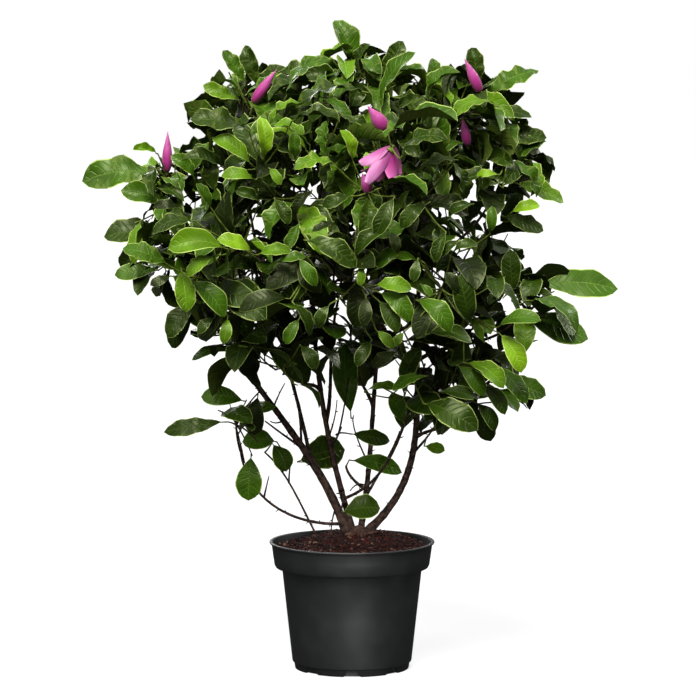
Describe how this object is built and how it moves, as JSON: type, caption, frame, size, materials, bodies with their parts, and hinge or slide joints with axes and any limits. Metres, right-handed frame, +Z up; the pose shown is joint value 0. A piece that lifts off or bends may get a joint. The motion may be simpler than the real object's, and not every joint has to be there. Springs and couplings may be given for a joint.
{
  "type": "potted magnolia shrub",
  "caption": "Multi-stem magnolia shrub with large glossy leaves and a few pink buds, standing in a round black plastic nursery pot.",
  "frame": {"origin": "centre of the pot's flat underside", "axes": "+Z up along the pot's axis, +X to the right and -Y towards the viewer of the reference picture"},
  "size_m": [0.903, 0.7661, 1.096],
  "materials": {
    "pot_plastic": "moulded black polypropylene, faint sheen",
    "substrate": "loose reddish-brown bark and peat",
    "bark": "smooth grey-brown bark with pale lenticels",
    "foliage": "glossy leathery green leaves, a few pink petals"
  },
  "bodies": {
    "root": {"pot": "pot_plastic", "soil": "substrate", "root_crown": "bark", "stem_right": "bark", "stem_middle": "bark", "stem_centre": "bark", "stem_left": "bark", "stem_upper_left": "bark", "stem_back_centre": "bark", "stem_front": "bark", "stem_low_left": "bark", "shoot_left": "bark", "bough_left_lower": "bark", "bough_left_shoulder": "bark", "bough_right_shoulder": "bark", "bough_right_far": "bark", "bough_right_lower": "bark", "bough_front_upper_left": "bark", "bough_front_upper_right": "bark", "bough_front_left": "bark", "bough_front_centre": "bark", "bough_front_right": "bark", "bough_front_low_left": "bark", "bough_back_upper_left": "bark", "bough_back_left": "bark", "bough_back_right": "bark", "bough_back_low": "bark", "foliage_left_shoulder": "foliage", "foliage_left_flank": "foliage", "foliage_left_lower": "foliage", "foliage_skirt": "foliage", "foliage_upper_left": "foliage", "foliage_top": "foliage", "foliage_upper_right": "foliage", "foliage_right_shoulder": "foliage", "foliage_right_far": "foliage", "foliage_right_lower": "foliage", "foliage_front_upper_left": "foliage", "foliage_front_upper_right": "foliage", "foliage_front_left": "foliage", "foliage_front_centre": "foliage", "foliage_front_right": "foliage", "foliage_front_low_left": "foliage", "foliage_front_low_right": "foliage", "foliage_back_upper_left": "foliage", "foliage_back_upper_right": "foliage", "foliage_back_left": "foliage", "foliage_back_centre": "foliage", "foliage_back_right": "foliage", "foliage_back_low": "foliage", "foliage_inner": "foliage", "foliage_foot": "foliage"}
  },
  "joints": []
}
